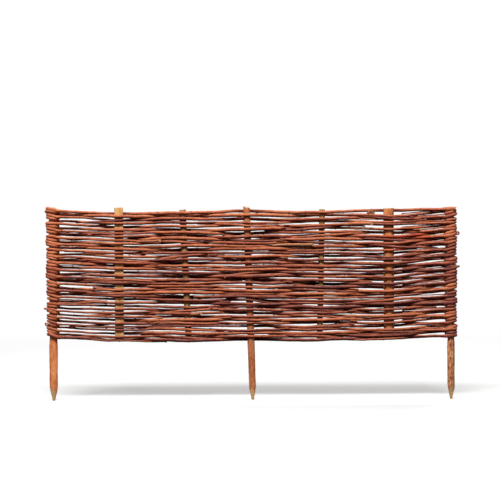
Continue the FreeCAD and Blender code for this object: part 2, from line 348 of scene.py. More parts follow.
def axe_point(radius, seed):
    """Four flat axe cuts that close in on the tip, none of them quite square or quite alike."""
    chance = random.Random(seed)
    facets = [
        (turn * pi / 2 + chance.uniform(-0.12, 0.12), chance.uniform(0.93, 1.06)) for turn in range(4)
    ]

    def cuts(along):
        if along > POST_POINT * 1.25:
            return []
        half = POST_TIP + (radius - POST_TIP) * along / POST_POINT
        return [(facing, half * share) for facing, share in facets]
    return cuts


END_FACE_DEPTH = 0.0015


def stick_ends(node):
    """The foot and top of a node's axis, from its own end faces."""
    corners = sorted((v.co.copy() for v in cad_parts[node].data.vertices), key=lambda co: co.z)
    low = [co for co in corners if co.z < corners[0].z + END_FACE_DEPTH]
    high = [co for co in corners if co.z > corners[-1].z - END_FACE_DEPTH]
    return sum(low, Vector()) / len(low), sum(high, Vector()) / len(high)


def dress(piece, node, material):
    """The piece takes the node's place on the hurdle."""
    piece.data.materials.append(material)
    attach(piece, "root")
    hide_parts(node)


def post(name, leg_width, weave_width, seed, knots, tilt, torn, material):
    foot, top = stick_ends(name)
    leg, woven = leg_width / 2, weave_width / 2

    def girth(along):
        blend = min(1.0, max(0.0, (along - WEAVE_START) / WEAVE_TAPER))
        above_foot = min(1.0, along / FOOT_HEIGHT)
        leg_here = leg * (FOOT_SHARE + FOOT_SWELL * above_foot)
        return leg_here + (woven - leg) * blend * blend * (3 - 2 * blend)

    relief = bark_relief(seed, POST_LUMPS, knots)
    stick = stick_mesh(
        f"{name}_pole", foot, top, girth, relief, axe_point(leg, seed),
        crook=POST_CROOK, tilt=tilt, torn=torn, seed=seed,
    )
    dress(stick, name, material)


salmon_bark = stick_material(
    "salmon post bark",
    dark=(0.42, 0.120, 0.038, 1), middle=(0.66, 0.205, 0.074, 1), light=(0.80, 0.305, 0.122, 1),
    pores=0.10, cracks=0.0, pore_colour=(0.34, 0.13, 0.05, 1),
)
speckled_bark = stick_material(
    "speckled post bark",
    dark=(0.29, 0.084, 0.032, 1), middle=(0.46, 0.145, 0.060, 1), light=(0.58, 0.210, 0.088, 1),
    pores=0.55, cracks=0.12, pore_colour=(0.62, 0.35, 0.19, 1),
)
cracked_bark = stick_material(
    "cracked post bark",
    dark=(0.19, 0.050, 0.030, 1), middle=(0.56, 0.225, 0.098, 1), light=(0.82, 0.40, 0.19, 1),
    pores=0.34, cracks=1.0, pore_colour=(0.12, 0.035, 0.022, 1),
)
post("left_post", 0.0250, 0.0225, 3, [(0.245, 4.4, 0.006, 0.0010)], -0.10, 0.0035, salmon_bark)
post("centre_post", 0.0210, 0.0205, 5, [(0.100, 4.9, 0.005, 0.0009)], -0.16, 0.0060, speckled_bark)
right_knots = [(0.078, 4.5, 0.005, 0.0012), (0.140, 5.3, 0.004, 0.0008)]
post("right_post", 0.0220, 0.0195, 8, right_knots, 0.05, 0.0012, cracked_bark)


# Inner stakes: two thin round willow sticks that stand between the posts and end with the weave. They keep
# their olive-brown bark, and are cut off square at both ends.
STAKE_CROOK = 0.0008
STAKE_LUMPS = 0.0004


def round_stake(name, width, seed, knots, tilt, material):
    foot, top = stick_ends(name)
    relief = bark_relief(seed, STAKE_LUMPS, knots)
    stick = stick_mesh(
        f"{name}_stick", foot, top, lambda along: width / 2, relief, lambda along: [],
        crook=STAKE_CROOK, tilt=tilt, seed=seed,
    )
    dress(stick, name, material)


olive_bark = stick_material(
    "olive stake bark",
    dark=(0.21, 0.090, 0.028, 1), middle=(0.380, 0.190, 0.062, 1), light=(0.55, 0.310, 0.12, 1),
    pores=0.35, cracks=0.35, pore_colour=(0.56, 0.36, 0.16, 1),
    wood=(0.58, 0.36, 0.14, 1),
)
left_knots = [(0.12, 4.6, 0.005, 0.0008), (0.29, 4.9, 0.004, 0.0007)]
round_stake("left_inner_stake", 0.0190, 11, left_knots, 0.06, olive_bark)
round_stake("right_inner_stake", 0.0170, 13, [(0.17, 4.5, 0.004, 0.0007)], -0.05, olive_bark)


# Outer stakes: two halves of a thicker willow stick, split down the middle with a knife. The left one shows
# its pale split face to the front, and the right one its orange-brown bark.
SPLIT_LUMPS = 0.0005
SPLIT_WAVE, SPLIT_WAVES_PER_METRE, SPLIT_DEPTH = 0.0006, 55, 0.0002
HALF_ROUND_MIDDLE = 0.42


def split_stake(name, width, split_faces, seed, knots, tilt, material):
    low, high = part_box(name)
    heart_y = low.y if split_faces < 0 else high.y
    foot = Vector(((low.x + high.x) / 2, heart_y, low.z))
    top = Vector((foot.x, heart_y, high.z))
    relief = bark_relief(seed, SPLIT_LUMPS, knots)
    facing = split_faces * pi / 2

    def split(along):
        wave = noise.noise((along * SPLIT_WAVES_PER_METRE, seed, 2))
        return [(facing, SPLIT_WAVE * wave - SPLIT_DEPTH)]

    stick = stick_mesh(
        f"{name}_half", foot, top, lambda along: width / 2, relief, split,
        middle=(0.0, -split_faces * HALF_ROUND_MIDDLE * width / 2), tilt=tilt, seed=seed,
    )
    dress(stick, name, material)


khaki_stake = stick_material(
    "khaki split stake",
    dark=(0.18, 0.085, 0.027, 1), middle=(0.31, 0.155, 0.052, 1), light=(0.43, 0.24, 0.09, 1),
    pores=0.3, cracks=0.2, pore_colour=(0.46, 0.29, 0.13, 1),
    wood=(0.80, 0.460, 0.190, 1), heart=(0.50, 0.235, 0.080, 1),
)
orange_stake = stick_material(
    "orange stake bark",
    dark=(0.29, 0.085, 0.025, 1), middle=(0.60, 0.205, 0.070, 1), light=(0.82, 0.350, 0.145, 1),
    pores=0.35, cracks=0.4, pore_colour=(0.34, 0.13, 0.05, 1),
)
split_stake("left_outer_stake", 0.0260, -1, 17, [(0.21, 1.6, 0.006, 0.0010)], 0.03, khaki_stake)
split_stake("right_outer_stake", 0.0310, 1, 19, [(0.245, -1.75, 0.006, 0.0016)], 0.04, orange_stake)


# Willow rods: one-year shoots with their red-brown bark on, woven in and out between the uprights from
# the bottom up. A rod's thin end is wound one and a half turns round an end post and goes back in.
ROD_FULLNESS = (0.82, 1.36, 1.11)
ROD_END_REACH = 0.02
ROD_SIDES = 12
ROD_RING_SPACING = 0.0028
ROD_WANDER = 0.0040
ROD_BUNCHING = 0.0125
ROD_UNEVENNESS = 0.26
WRAP_FULLNESS = 0.26
LEFT_THINNESS = 0.09
WRAP_SLOPES = (-0.24, 0.10)
WRAP_SLOPE_SPREAD = 0.13
LEFT_WRAP_TONE = 0.26
LIGHTEST_WRAP_TONE = 0.74
RED_FLUSH = 0.80
FLUSHED_RODS = ("willow_rod_27", "willow_rod_31")
KNOT_SPACING = (0.037, 0.061)
KNOT_SWELL = 0.07
BUD_LENGTH = 0.0058
BUD_SIZES = (0.55, 1.2)
BUD_FLATNESS = 0.62
BUD_TURN = radians(137.5)
MEAN_RADIUS = 0.0045
KNOT_REACH = 0.0045
OWN_STRETCH = 3.71
DRIFTS_PER_METRE = 19.0
BUNCHES_PER_METRE = (5.0, 0.0, 27.0)
WRAP_ZONE = (0.550, 0.570)
# The painted shade of the rods is eased from none to half over these distances from the middle, and by half
# beyond them, at the turns round the end posts.
SHADE_EASED_ZONE = (0.552, 0.568)
WRAP_EDGE = 0.568
LEFT_WRAP_ZONE = (-0.540, -0.572)
LEFT_THIN_ZONE = (-0.24, -0.36)
FLUSH_STARTS, FLUSH_ENDS = (0.35, 0.39), (0.54, 0.50)
ROD_TONES = (0.02, 0.73)
# The top courses are given at least a lighter tone: painted light, for more light from above.
TOP_RODS = 6
TOP_PAINTED_LIGHT_TONE = 0.50
ROD_COLOURS = [
    (0.00, (0.152, 0.039, 0.035, 1)),
    (0.25, (0.258, 0.059, 0.037, 1)),
    (0.50, (0.378, 0.093, 0.043, 1)),
    (0.72, (0.535, 0.150, 0.065, 1)),
    (0.86, (0.598, 0.200, 0.087, 1)),
    (1.00, (0.450, 0.052, 0.017, 1)),
]
# Pale tint of the painted highlight on rod bark that faces up.
PAINTED_HIGHLIGHT_TINT = (0.69, 0.305, 0.198, 1)
# Dark tint of the painted shade on rod bark that faces down or in towards the middle of the weave.
PAINTED_SHADE_TINT = (0.17, 0.058, 0.038, 1)
ROD_PORES = (0.46, 0.25, 0.13, 1)
ROD_CRACKS = (0.04, 0.014, 0.010, 1)
KNOT_BARK = (0.10, 0.036, 0.022, 1)
ROD_WOOD = (0.52, 0.31, 0.16, 1)


def rod_line(node):
    """The rod's centre line and half thickness from butt to tip, as the node's own rings give them.

    A ring's corners are added up in a fixed order, so that each run gives the same line.
    """
    mesh = bmesh.new()
    mesh.from_mesh(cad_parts[node].data)
    bmesh.ops.remove_doubles(mesh, verts=mesh.verts, dist=1e-5)
    mesh.normal_update()
    mesh.verts.index_update()
    end_corners = {vertex for face in mesh.faces if abs(face.normal.x) > 0.9999 for vertex in face.verts}
    first = min(end_corners, key=lambda vertex: vertex.index).co
    ring = {vertex for vertex in end_corners if (vertex.co - first).length < ROD_END_REACH}
    seen, line = set(), []
    while ring:
        corners = [vertex.co for vertex in sorted(ring, key=lambda vertex: vertex.index)]
        heights = [corner.z for corner in corners]
        line.append((sum(corners, Vector()) / len(corners), (max(heights) - min(heights)) / 2))
        seen |= ring
        ring = {edge.other_vert(vertex) for vertex in ring for edge in vertex.link_edges} - seen
    mesh.free()
    return line if line[0][1] > line[-1][1] else line[::-1]


def rod_curve(name, line):
    """A smooth line through the rod's runs, with its thickness as the points' radius."""
    curve = bpy.data.curves.new(name, "CURVE")
    curve.dimensions = "3D"
    spline = curve.splines.new("NURBS")
    spline.points.add(len(line) - 1)
    for point, (middle, radius) in zip(spline.points, line):
        point.co = (*middle, 1)
        point.radius = radius
    spline.order_u = 3
    spline.use_endpoint_u = True
    spline.resolution_u = 10
    made = bpy.data.objects.new(name, curve)
    bpy.context.scene.collection.objects.link(made)
    return made


def woven_rod_tree():
    """Geometry Nodes that grow a willow rod along a line: uneven girth, knots, buds and bare cut ends."""
    tree = bpy.data.node_groups.new("woven willow rod", "GeometryNodeTree")
    number, whole, shape = "NodeSocketFloat", "NodeSocketInt", "NodeSocketGeometry"
    tree.interface.new_socket("Rod Line", in_out="INPUT", socket_type=shape)
    for socket, kind in (
        ("Rod Number", whole), ("Tone", number), ("Fullness", number), ("Sides", whole),
        ("Ring Spacing", number), ("Wander", number), ("Bunching", number), ("Unevenness", number),
        ("Wrap Fullness", number), ("Left Thinness", number), ("Left Wrap Slope", number),
        ("Right Wrap Slope", number), ("Left Wrap Tone", number), ("Red Flush", number), ("Peeled", number),
        ("Knot Spacing", number), ("Knot Swell", number), ("Bud Length", number),
        ("Bark", "NodeSocketMaterial"),
    ):
        tree.interface.new_socket(socket, in_out="INPUT", socket_type=kind)
    tree.interface.new_socket("Rod", in_out="OUTPUT", socket_type=shape)
    given = add(tree, "NodeGroupInput").outputs

    def stored(geometry, name, value, kind="FLOAT", domain="POINT"):
        inputs = {"Geometry": geometry, "Name": name, "Value": value}
        store = add(tree, "GeometryNodeStoreNamedAttribute", inputs, data_type=kind, domain=domain)
        return store.outputs[0]

    def read(name):
        return add(tree, "GeometryNodeInputNamedAttribute", {"Name": name}, data_type="FLOAT").outputs[0]

    rings = {"Curve": given["Rod Line"], "Length": given["Ring Spacing"]}
    line = add(tree, "GeometryNodeResampleCurve", rings, mode="LENGTH")
    along = add(tree, "GeometryNodeSplineParameter").outputs["Length"]
    own_place = times(tree, given["Rod Number"], OWN_STRETCH)
    own_along = plus(tree, along, own_place)
    stretched = times(tree, own_along, DRIFTS_PER_METRE)
    rod_place = add(tree, "ShaderNodeCombineXYZ", {"X": stretched, "Y": own_place}).outputs[0]
    drift_look = {"Vector": rod_place, "Scale": 1.0, "Detail": 2.0}
    drift = add(tree, "ShaderNodeTexNoise", drift_look).outputs["Color"]
    to_middle = (-0.5, -0.5, -0.5)
    centred = add(tree, "ShaderNodeVectorMath", {0: drift, 1: to_middle}, operation="ADD").outputs[0]
    place = add(tree, "GeometryNodeInputPosition").outputs[0]
    rightward = add(tree, "ShaderNodeSeparateXYZ", {"Vector": place}).outputs["X"]
    wound = between(tree, maths(tree, "ABSOLUTE", rightward), *WRAP_ZONE)
    wander = times(tree, given["Wander"], plus(tree, 1.0, wound))
    offset = add(tree, "ShaderNodeVectorMath", {0: centred, "Scale": wander}, operation="SCALE").outputs[0]
    bunch_look = {"Vector": scaled(tree, place, BUNCHES_PER_METRE), "Scale": 1.0, "Detail": 1.0}
    bunched = add(tree, "ShaderNodeTexNoise", bunch_look).outputs["Fac"]
    raised = times(tree, maths(tree, "SUBTRACT", bunched, 0.5), given["Bunching"])
    beyond_right = maths(tree, "MAXIMUM", maths(tree, "SUBTRACT", rightward, WRAP_EDGE), 0.0)
    beyond_left = maths(tree, "MINIMUM", plus(tree, rightward, WRAP_EDGE), 0.0)
    raised = plus(tree, raised, times(tree, beyond_right, given["Right Wrap Slope"]))
    raised = plus(tree, raised, times(tree, beyond_left, given["Left Wrap Slope"]))
    upward = add(tree, "ShaderNodeCombineXYZ", {"Z": raised}).outputs[0]
    offset = add(tree, "ShaderNodeVectorMath", {0: offset, 1: upward}, operation="ADD").outputs[0]
    line = add(tree, "GeometryNodeSetPosition", {"Geometry": line.outputs[0], "Offset": offset}).outputs[0]

    slow_look = {"Vector": rod_place, "Scale": 0.6, "Detail": 1.0}
    slow = add(tree, "ShaderNodeTexNoise", slow_look).outputs["Fac"]
    uneven = times(tree, maths(tree, "SUBTRACT", slow, 0.5), given["Unevenness"])
    knots_passed = maths(tree, "DIVIDE", along, given["Knot Spacing"])
    between_knots = maths(tree, "FRACT", plus(tree, knots_passed, 0.5))
    knot_way = maths(tree, "ABSOLUTE", maths(tree, "SUBTRACT", between_knots, 0.5))
    from_knot = times(tree, knot_way, given["Knot Spacing"])
    knot = between(tree, from_knot, KNOT_REACH, 0.0)
    swell = times(tree, knot, given["Knot Swell"])
    fuller = times(tree, wound, given["Wrap Fullness"])
    thinner = times(tree, between(tree, rightward, *LEFT_THIN_ZONE), given["Left Thinness"])
    share = plus(tree, plus(tree, 1.0, uneven), plus(tree, swell, fuller))
    share = maths(tree, "SUBTRACT", share, thinner)
    thickness = add(tree, "GeometryNodeInputRadius").outputs[0]
    radius = times(tree, times(tree, thickness, given["Fullness"]), share)
    line = stored(line, "girth", radius)
    line = stored(line, "along", along)
    line = stored(line, "knot", knot)

    round_section = {"Resolution": given["Sides"], "Radius": 1.0}
    outline = add(tree, "GeometryNodeCurvePrimitiveCircle", round_section).outputs[0]
    outline = stored(outline, "around", add(tree, "GeometryNodeSplineParameter").outputs["Factor"])
    girth = read("girth")
    swept = {"Curve": line, "Profile Curve": outline, "Scale": girth, "Fill Caps": True}
    tube = add(tree, "GeometryNodeCurveToMesh", swept).outputs[0]
    corner_count = add(tree, "GeometryNodeInputMeshFaceNeighbors").outputs["Vertex Count"]
    over_four = {"A_INT": corner_count, "B_INT": 4}
    is_end = add(tree, "FunctionNodeCompare", over_four, data_type="INT", operation="GREATER_THAN")
    tube = add(tree, "GeometryNodeSetShadeSmooth", {"Geometry": tube, "Shade Smooth": True}).outputs[0]
    tube = stored(tube, "bare", maths(tree, "MAXIMUM", is_end.outputs[0], given["Peeled"]), domain="FACE")
    angle = times(tree, read("around"), tau)
    on_the_bark = {
        "X": times(tree, maths(tree, "COSINE", angle), MEAN_RADIUS),
        "Y": times(tree, maths(tree, "SINE", angle), MEAN_RADIUS),
        "Z": plus(tree, read("along"), own_place),
    }
    bark_place = add(tree, "ShaderNodeCombineXYZ", on_the_bark).outputs[0]
    tube = stored(tube, "bark_place", bark_place, "FLOAT_VECTOR")

    sphere = add(tree, "GeometryNodeMeshUVSphere", {"Segments": 6, "Rings": 6, "Radius": 0.5}).outputs[0]
    position = add(tree, "GeometryNodeInputPosition").outputs[0]
    tip_way = add(tree, "ShaderNodeSeparateXYZ", {"Vector": position}).outputs["Z"]
    slim = between(tree, tip_way, -0.3, 0.5, 0.62, 0.22)
    flat_side = times(tree, slim, BUD_FLATNESS)
    slimmed = add(tree, "ShaderNodeCombineXYZ", {"X": flat_side, "Y": slim, "Z": 1.0}).outputs[0]
    bud_shape = scaled(tree, position, slimmed)
    bud = add(tree, "GeometryNodeSetPosition", {"Geometry": sphere, "Position": bud_shape}).outputs[0]
    bud = add(tree, "GeometryNodeSetShadeSmooth", {"Geometry": bud, "Shade Smooth": True}).outputs[0]
    bud = stored(bud, "knot", 1.0)

    each_knot = {"Curve": line, "Length": given["Knot Spacing"]}
    spots = add(tree, "GeometryNodeCurveToPoints", each_knot, mode="LENGTH").outputs
    index = add(tree, "GeometryNodeInputIndex").outputs[0]
    spiral = times(tree, plus(tree, index, given["Rod Number"]), BUD_TURN)
    turned = {"Vector": spots["Normal"], "Axis": spots["Tangent"], "Angle": spiral}
    outward = add(tree, "ShaderNodeVectorRotate", turned, rotation_type="AXIS_ANGLE").outputs[0]
    lift = add(tree, "ShaderNodeVectorMath", {0: outward, "Scale": girth}, operation="SCALE").outputs[0]
    seats = add(tree, "GeometryNodeSetPosition", {"Geometry": spots["Points"], "Offset": lift}).outputs[0]
    bud_ways = {0: spots["Tangent"], 1: outward}
    bud_axes = {"primary_axis": "Z", "secondary_axis": "X"}
    turn = add(tree, "FunctionNodeAxesToRotation", bud_ways, **bud_axes).outputs[0]
    chance = {"Min_001": BUD_SIZES[0], "Max_001": BUD_SIZES[1], "Seed": given["Rod Number"]}
    size_share = add(tree, "FunctionNodeRandomValue", chance, data_type="FLOAT").outputs[1]
    size = times(tree, size_share, given["Bud Length"])
    seated = {"Points": seats, "Instance": bud, "Rotation": turn, "Scale": size}
    buds = add(tree, "GeometryNodeInstanceOnPoints", seated).outputs[0]
    grown = add(tree, "GeometryNodeJoinGeometry")
    tree.links.new(tube, grown.inputs[0])
    tree.links.new(buds, grown.inputs[0])
    whole_rod = add(tree, "GeometryNodeRealizeInstances", {"Geometry": grown.outputs[0]}).outputs[0]
    rubbed = times(tree, between(tree, rightward, *LEFT_WRAP_ZONE), given["Left Wrap Tone"])
    flush_start = between(tree, rightward, *FLUSH_STARTS)
    right_end = times(tree, flush_start, between(tree, rightward, *FLUSH_ENDS))
    flushed = times(tree, right_end, given["Red Flush"])
    rubbed_tone = maths(tree, "MINIMUM", plus(tree, given["Tone"], rubbed), LIGHTEST_WRAP_TONE)
    whole_rod = stored(whole_rod, "tone", plus(tree, rubbed_tone, flushed))
    barked = add(tree, "GeometryNodeSetMaterial", {"Geometry": whole_rod, "Material": given["Bark"]})
    add(tree, "NodeGroupOutput", {0: barked.outputs[0]})
    return tree


def rod_bark_material():
    """Red-brown willow bark, with a painted highlight where it faces up and painted shade where it faces
    down or inwards.

    A rod's tone goes from purple-brown over chestnut and orange to a bright red.
    """
    material = bpy.data.materials.new("red willow bark")
    material.use_nodes = True
    tree = material.node_tree
    shader = tree.nodes["Principled BSDF"]
    bark = add(tree, "ShaderNodeGroup", node_tree=BARK)
    tree.links.new(attribute(tree, "bark_place", "Vector"), bark.inputs["Place"])
    bark.inputs["Pores"].default_value = 0.22
    bark.inputs["Cracks"].default_value = 0.25
    drift = times(tree, maths(tree, "SUBTRACT", bark.outputs["Patches"], 0.5), 1.15)
    own_tone = plus(tree, attribute(tree, "tone"), drift)
    colour = tone_ramp(tree, own_tone, ROD_COLOURS)
    streak = between(tree, bark.outputs["Streaks"], 0.34, 0.66, 0.66, 1.28)
    colour = add(tree, "ShaderNodeVectorMath", {0: colour, "Scale": streak}, operation="SCALE").outputs[0]
    facing = add(tree, "ShaderNodeNewGeometry").outputs["Normal"]
    ways = add(tree, "ShaderNodeSeparateXYZ", {"Vector": facing}).outputs
    weave_place = add(tree, "ShaderNodeTexCoord").outputs["Object"]
    from_middle = add(tree, "ShaderNodeSeparateXYZ", {"Vector": weave_place}).outputs
    # Painted shade: bark that faces down, or in towards the middle of the weave, is darkened, and half as
    # much at the turns round the end posts.
    inward = times(tree, ways["Y"], from_middle["Y"])
    inward_shade = between(tree, inward, 0.001, -0.008, 0.0, 0.92)
    painted_shade = maths(tree, "MAXIMUM", between(tree, ways["Z"], 0.42, -0.62), inward_shade)
    shade_eased_at_posts = between(tree, maths(tree, "ABSOLUTE", from_middle["X"]), *SHADE_EASED_ZONE, 1.0, 0.5)
    painted_shade = times(tree, painted_shade, shade_eased_at_posts)
    # Painted highlight: bark that faces up is tinted pale, in streaks.
    faces_up = between(tree, ways["Z"], 0.10, 0.90)
    painted_highlight = times(tree, faces_up, between(tree, bark.outputs["Streaks"], 0.36, 0.62))
    colour = tinted(tree, times(tree, painted_highlight, 0.50), colour, PAINTED_HIGHLIGHT_TINT)
    colour = tinted(tree, painted_shade, colour, PAINTED_SHADE_TINT, "MULTIPLY")
    colour = tinted(tree, times(tree, bark.outputs["Pores"], 0.55), colour, ROD_PORES)
    colour = tinted(tree, times(tree, bark.outputs["Cracks"], 0.8), colour, ROD_CRACKS)
    colour = tinted(tree, times(tree, attribute(tree, "knot"), 0.28), colour, KNOT_BARK)
    colour = tinted(tree, attribute(tree, "bare"), colour, ROD_WOOD)
    tree.links.new(colour, shader.inputs["Base Color"])
    tree.links.new(between(tree, bark.outputs["Streaks"], 0.3, 0.7, 0.58, 0.40), shader.inputs["Roughness"])
    shader.inputs["Specular IOR Level"].default_value = 0.03
    relief = {"Strength": 0.5, "Distance": 0.0005, "Height": bark.outputs["Relief"]}
    bump = add(tree, "ShaderNodeBump", relief)
    tree.links.new(bump.outputs["Normal"], shader.inputs["Normal"])
    return material


ROD_TREE = woven_rod_tree()
ROD_BARK = rod_bark_material()
ROD_SOCKETS = {
    item.name: item.identifier for item in ROD_TREE.interface.items_tree if item.in_out == "INPUT"
}


def grow(
    name, line, number, tone, fullness, knot_spacing, wrap_slopes=WRAP_SLOPES, red_flush=0.0, peeled=0.0
):
    """A shoot of willow along the line, as a plain mesh that belongs to the hurdle."""
    grown = rod_curve(f"{name}_line", line)
    growth = grown.modifiers.new("growth", "NODES")
    growth.node_group = ROD_TREE
    for socket, value in {
        "Rod Number": number,
        "Tone": tone,
        "Fullness": fullness,
        "Sides": ROD_SIDES,
        "Ring Spacing": ROD_RING_SPACING,
        "Wander": ROD_WANDER,
        "Bunching": ROD_BUNCHING,
        "Unevenness": ROD_UNEVENNESS,
        "Wrap Fullness": WRAP_FULLNESS,
        "Left Thinness": LEFT_THINNESS,
        "Left Wrap Slope": wrap_slopes[0],
        "Right Wrap Slope": wrap_slopes[1],
        "Left Wrap Tone": LEFT_WRAP_TONE,
        "Red Flush": red_flush,
        "Peeled": peeled,
        "Knot Spacing": knot_spacing,
        "Knot Swell": KNOT_SWELL,
        "Bud Length": BUD_LENGTH,
        "Bark": ROD_BARK,
    }.items():
        growth[ROD_SOCKETS[socket]] = value
    evaluated = grown.evaluated_get(bpy.context.evaluated_depsgraph_get())
    shoot_mesh = bpy.data.meshes.new_from_object(evaluated)
    grown.modifiers.remove(growth)
    bpy.data.objects.remove(grown)
    shoot = bpy.data.objects.new(name, shoot_mesh)
    bpy.context.scene.collection.objects.link(shoot)
    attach(shoot, "root")
    return shoot


ROD_NODES = sorted(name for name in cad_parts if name.startswith("willow_rod_"))
rod_lines = {node: rod_line(node) for node in ROD_NODES}
rod_chance = random.Random(21)
wrap_chance = random.Random(31)
for rod_number, rod_node in enumerate(ROD_NODES):
    rod_tone = rod_chance.uniform(*ROD_TONES)
    # Painted light: the top courses are kept at a lighter tone.
    if rod_number >= len(ROD_NODES) - TOP_RODS:
        rod_tone = max(rod_tone, TOP_PAINTED_LIGHT_TONE)
    rod_fullness = rod_chance.triangular(*ROD_FULLNESS)
    knots = rod_chance.uniform(*KNOT_SPACING)
    flush = RED_FLUSH if rod_node in FLUSHED_RODS else 0.0
    slopes = [slope + wrap_chance.uniform(-WRAP_SLOPE_SPREAD, WRAP_SLOPE_SPREAD) for slope in WRAP_SLOPES]
    rod = grow(
        f"{rod_node}_shoot", rod_lines[rod_node], rod_number, rod_tone, rod_fullness, knots, slopes, flush
    )
    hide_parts(rod_node)


# Second shoots: thin willow tips that are laid in where the weave is open. Some lie beside a rod, and
# others cross an upright on the side that the rod leaves bare. Both ends are tucked in between the rods.
SECOND_SHOOT_SHARE = (0.44, 0.70)
SECOND_SHOOT_LIFT = (0.0036, 0.0064)
SECOND_SHOOT_SLANT = 0.006
SECOND_SHOOT_POINTS = 5
SECOND_SHOOT_TAPER = 0.3
END_DEPTH_SHARE = 0.25
SPAN_PLACES = (0.15, 0.5, 0.85)
LEFT_END_SHARE, RIGHT_END_SHARE, SPAN_SHARE = 0.26, 0.90, 0.08
ACROSS_SHARES = {"front": 0.50, "back": 0.36}
RIGHT_STAKE_SHARE = 0.20
ACROSS_REACH = (0.07, 0.17)
ACROSS_SLANT = 0.008
ACROSS_THICKNESS = (0.0060, 0.0088)
ACROSS_PROFILE = (
    (-1.0, -0.7, 0.55), (-0.6, 0.35, 0.9), (-0.12, 1.0, 1.0),
    (0.12, 1.0, 1.0), (0.6, 0.35, 0.85), (1.0, -0.7, 0.5),
)
SECOND_SHOOT_NUMBER, ACROSS_NUMBER = 60, 160
END_POST_PLACE = 0.582
WOUND_FROM = 0.566
INNER_UPRIGHTS = 0.5
RIGHT_STAKE_FROM = 0.3
CLEAR_OF_MIDDLE = 0.009
WIDEST_UPRIGHT = 0.04


def runs_of(line):
    """A rod's stretches before and after its turns round the end post, both from the post on."""
    wound = [n for n, (middle, _) in enumerate(line) if abs(middle.x) > WOUND_FROM]
    return line[wound[0]::-1], line[wound[-1]:]


def first_span(run):
    """Points along a run between the end post and the first stake, from inside the post."""
    (post_place, post_radius), (stake_place, stake_radius) = run[:2]
    inside = Vector((copysign(END_POST_PLACE, post_place.x), 0, post_place.z))
    line = [(inside, post_radius)]
    for way in SPAN_PLACES:
        line.append((post_place.lerp(stake_place, way), post_radius + way * (stake_radius - post_radius)))
    return line


def laid_beside(part, lift, slant, share):
    """A line a little above part of a rod, thinner and thinner, with its ends drawn into the weave."""
    beside = []
    for n, (middle, radius) in enumerate(part):
        way = n / (len(part) - 1)
        place = middle + Vector((0, 0, lift + slant * (way - 0.5)))
        if n in (0, len(part) - 1):
            place.y *= END_DEPTH_SHARE
        beside.append((place, radius * share * (1 - SECOND_SHOOT_TAPER * way)))
    return beside


def bare_sides(line, bare_side):
    """The places of a rod that leave an upright between the end posts bare on this side, front or back."""
    rod_side = 1 if bare_side == "front" else -1
    return [
        (first + second) / 2 for (first, _), (second, _) in zip(line, line[1:])
        if min(first.y * rod_side, second.y * rod_side) > CLEAR_OF_MIDDLE
        and abs(second.x - first.x) < WIDEST_UPRIGHT and abs(first.x) < INNER_UPRIGHTS
    ]


def laid_across(rod_place, left_reach, right_reach, slant, thickness):
    """A line over the bare side of an upright, with both ends tucked into the weave.

    The profile gives how far along a point is, how far out of the weave, and its share of the thickness.
    """
    line = []
    for way, depth, share in ACROSS_PROFILE:
        reach = right_reach if way > 0 else left_reach
        place = rod_place + Vector((way * reach, -rod_place.y * (1 + depth), way * slant))
        line.append((place, share * thickness / 2))
    return line


shoot_chance = random.Random(5)
for rod_number, rod_node in enumerate(ROD_NODES):
    for turns, run in zip(("before_turns", "after_turns"), runs_of(rod_lines[rod_node])):
        if len(run) < SECOND_SHOOT_POINTS:
            continue
        post_share = RIGHT_END_SHARE if run[0][0].x > 0 else LEFT_END_SHARE
        for place, part, wanted_share in (
            ("at_post", first_span(run), post_share),
            ("far_end", run[-SECOND_SHOOT_POINTS:], SPAN_SHARE),
        ):
            chance = shoot_chance.random()
            shoot_tone = shoot_chance.uniform(*ROD_TONES)
            knots = shoot_chance.uniform(*KNOT_SPACING)
            lift = shoot_chance.uniform(*SECOND_SHOOT_LIFT)
            slant = shoot_chance.uniform(-SECOND_SHOOT_SLANT, SECOND_SHOOT_SLANT)
            share = shoot_chance.uniform(*SECOND_SHOOT_SHARE)
            if chance < wanted_share:
                line = laid_beside(part, lift, slant, share)
                name = f"{rod_node}_second_{turns}_{place}"
                grow(name, line, rod_number + SECOND_SHOOT_NUMBER, shoot_tone, 1.0, knots)
across_chance = random.Random(12)
for bare_side, across_share in ACROSS_SHARES.items():
    for rod_number, rod_node in enumerate(ROD_NODES[:-1]):
        for place_number, rod_place in enumerate(bare_sides(rod_lines[rod_node], bare_side)):
            chance = across_chance.random()
            left_reach = across_chance.uniform(*ACROSS_REACH)
            right_reach = across_chance.uniform(*ACROSS_REACH)
            slant = across_chance.uniform(-ACROSS_SLANT, ACROSS_SLANT)
            thickness = across_chance.uniform(*ACROSS_THICKNESS)
            shoot_tone = across_chance.uniform(*ROD_TONES)
            knots = across_chance.uniform(*KNOT_SPACING)
            at_right_stake = rod_place.x > RIGHT_STAKE_FROM
            wanted_share = across_share + (RIGHT_STAKE_SHARE if at_right_stake else 0.0)
            if chance < wanted_share:
                line = laid_across(rod_place, left_reach, right_reach, slant, thickness)
                name = f"{rod_node}_{bare_side}_shoot_{place_number}"
                grow(name, line, rod_number + ACROSS_NUMBER, shoot_tone, 1.0, knots)


# Loose ends: a few willow tips that stick out of the turns round the end posts, thick butts whose pale cut
# ends lie in front of the weave, and a sawn stub with its brown bark on, wedged into the top courses.
TIP_EDGE = 0.5935
CURL_START, CURL_MIDDLE = 0.586, 0.6005
CURL_RADIUS, CURL_GIRTH = 0.0048, 0.0019
TIP_TONE, CURL_TONE = 0.42, 0.40
TIP_KNOTS, BUTT_KNOTS = 0.05, 0.043


def hooked_tip(name, side, height, reach, drop, number):
    """A tip that comes out of the turns round an end post and points away from it."""
    edge = side * TIP_EDGE
    line = [
        (Vector((edge - side * 0.012, -0.0150, height - 0.002)), 0.0034),
        (Vector((edge - side * 0.001, -0.0120, height - 0.001)), 0.0034),
        (Vector((edge + side * reach * 0.5, -0.0060, height)), 0.0030),
        (Vector((edge + side * reach, 0.0010, height + drop)), 0.0022),
    ]
    grow(name, line, number, TIP_TONE, 1.0, TIP_KNOTS)


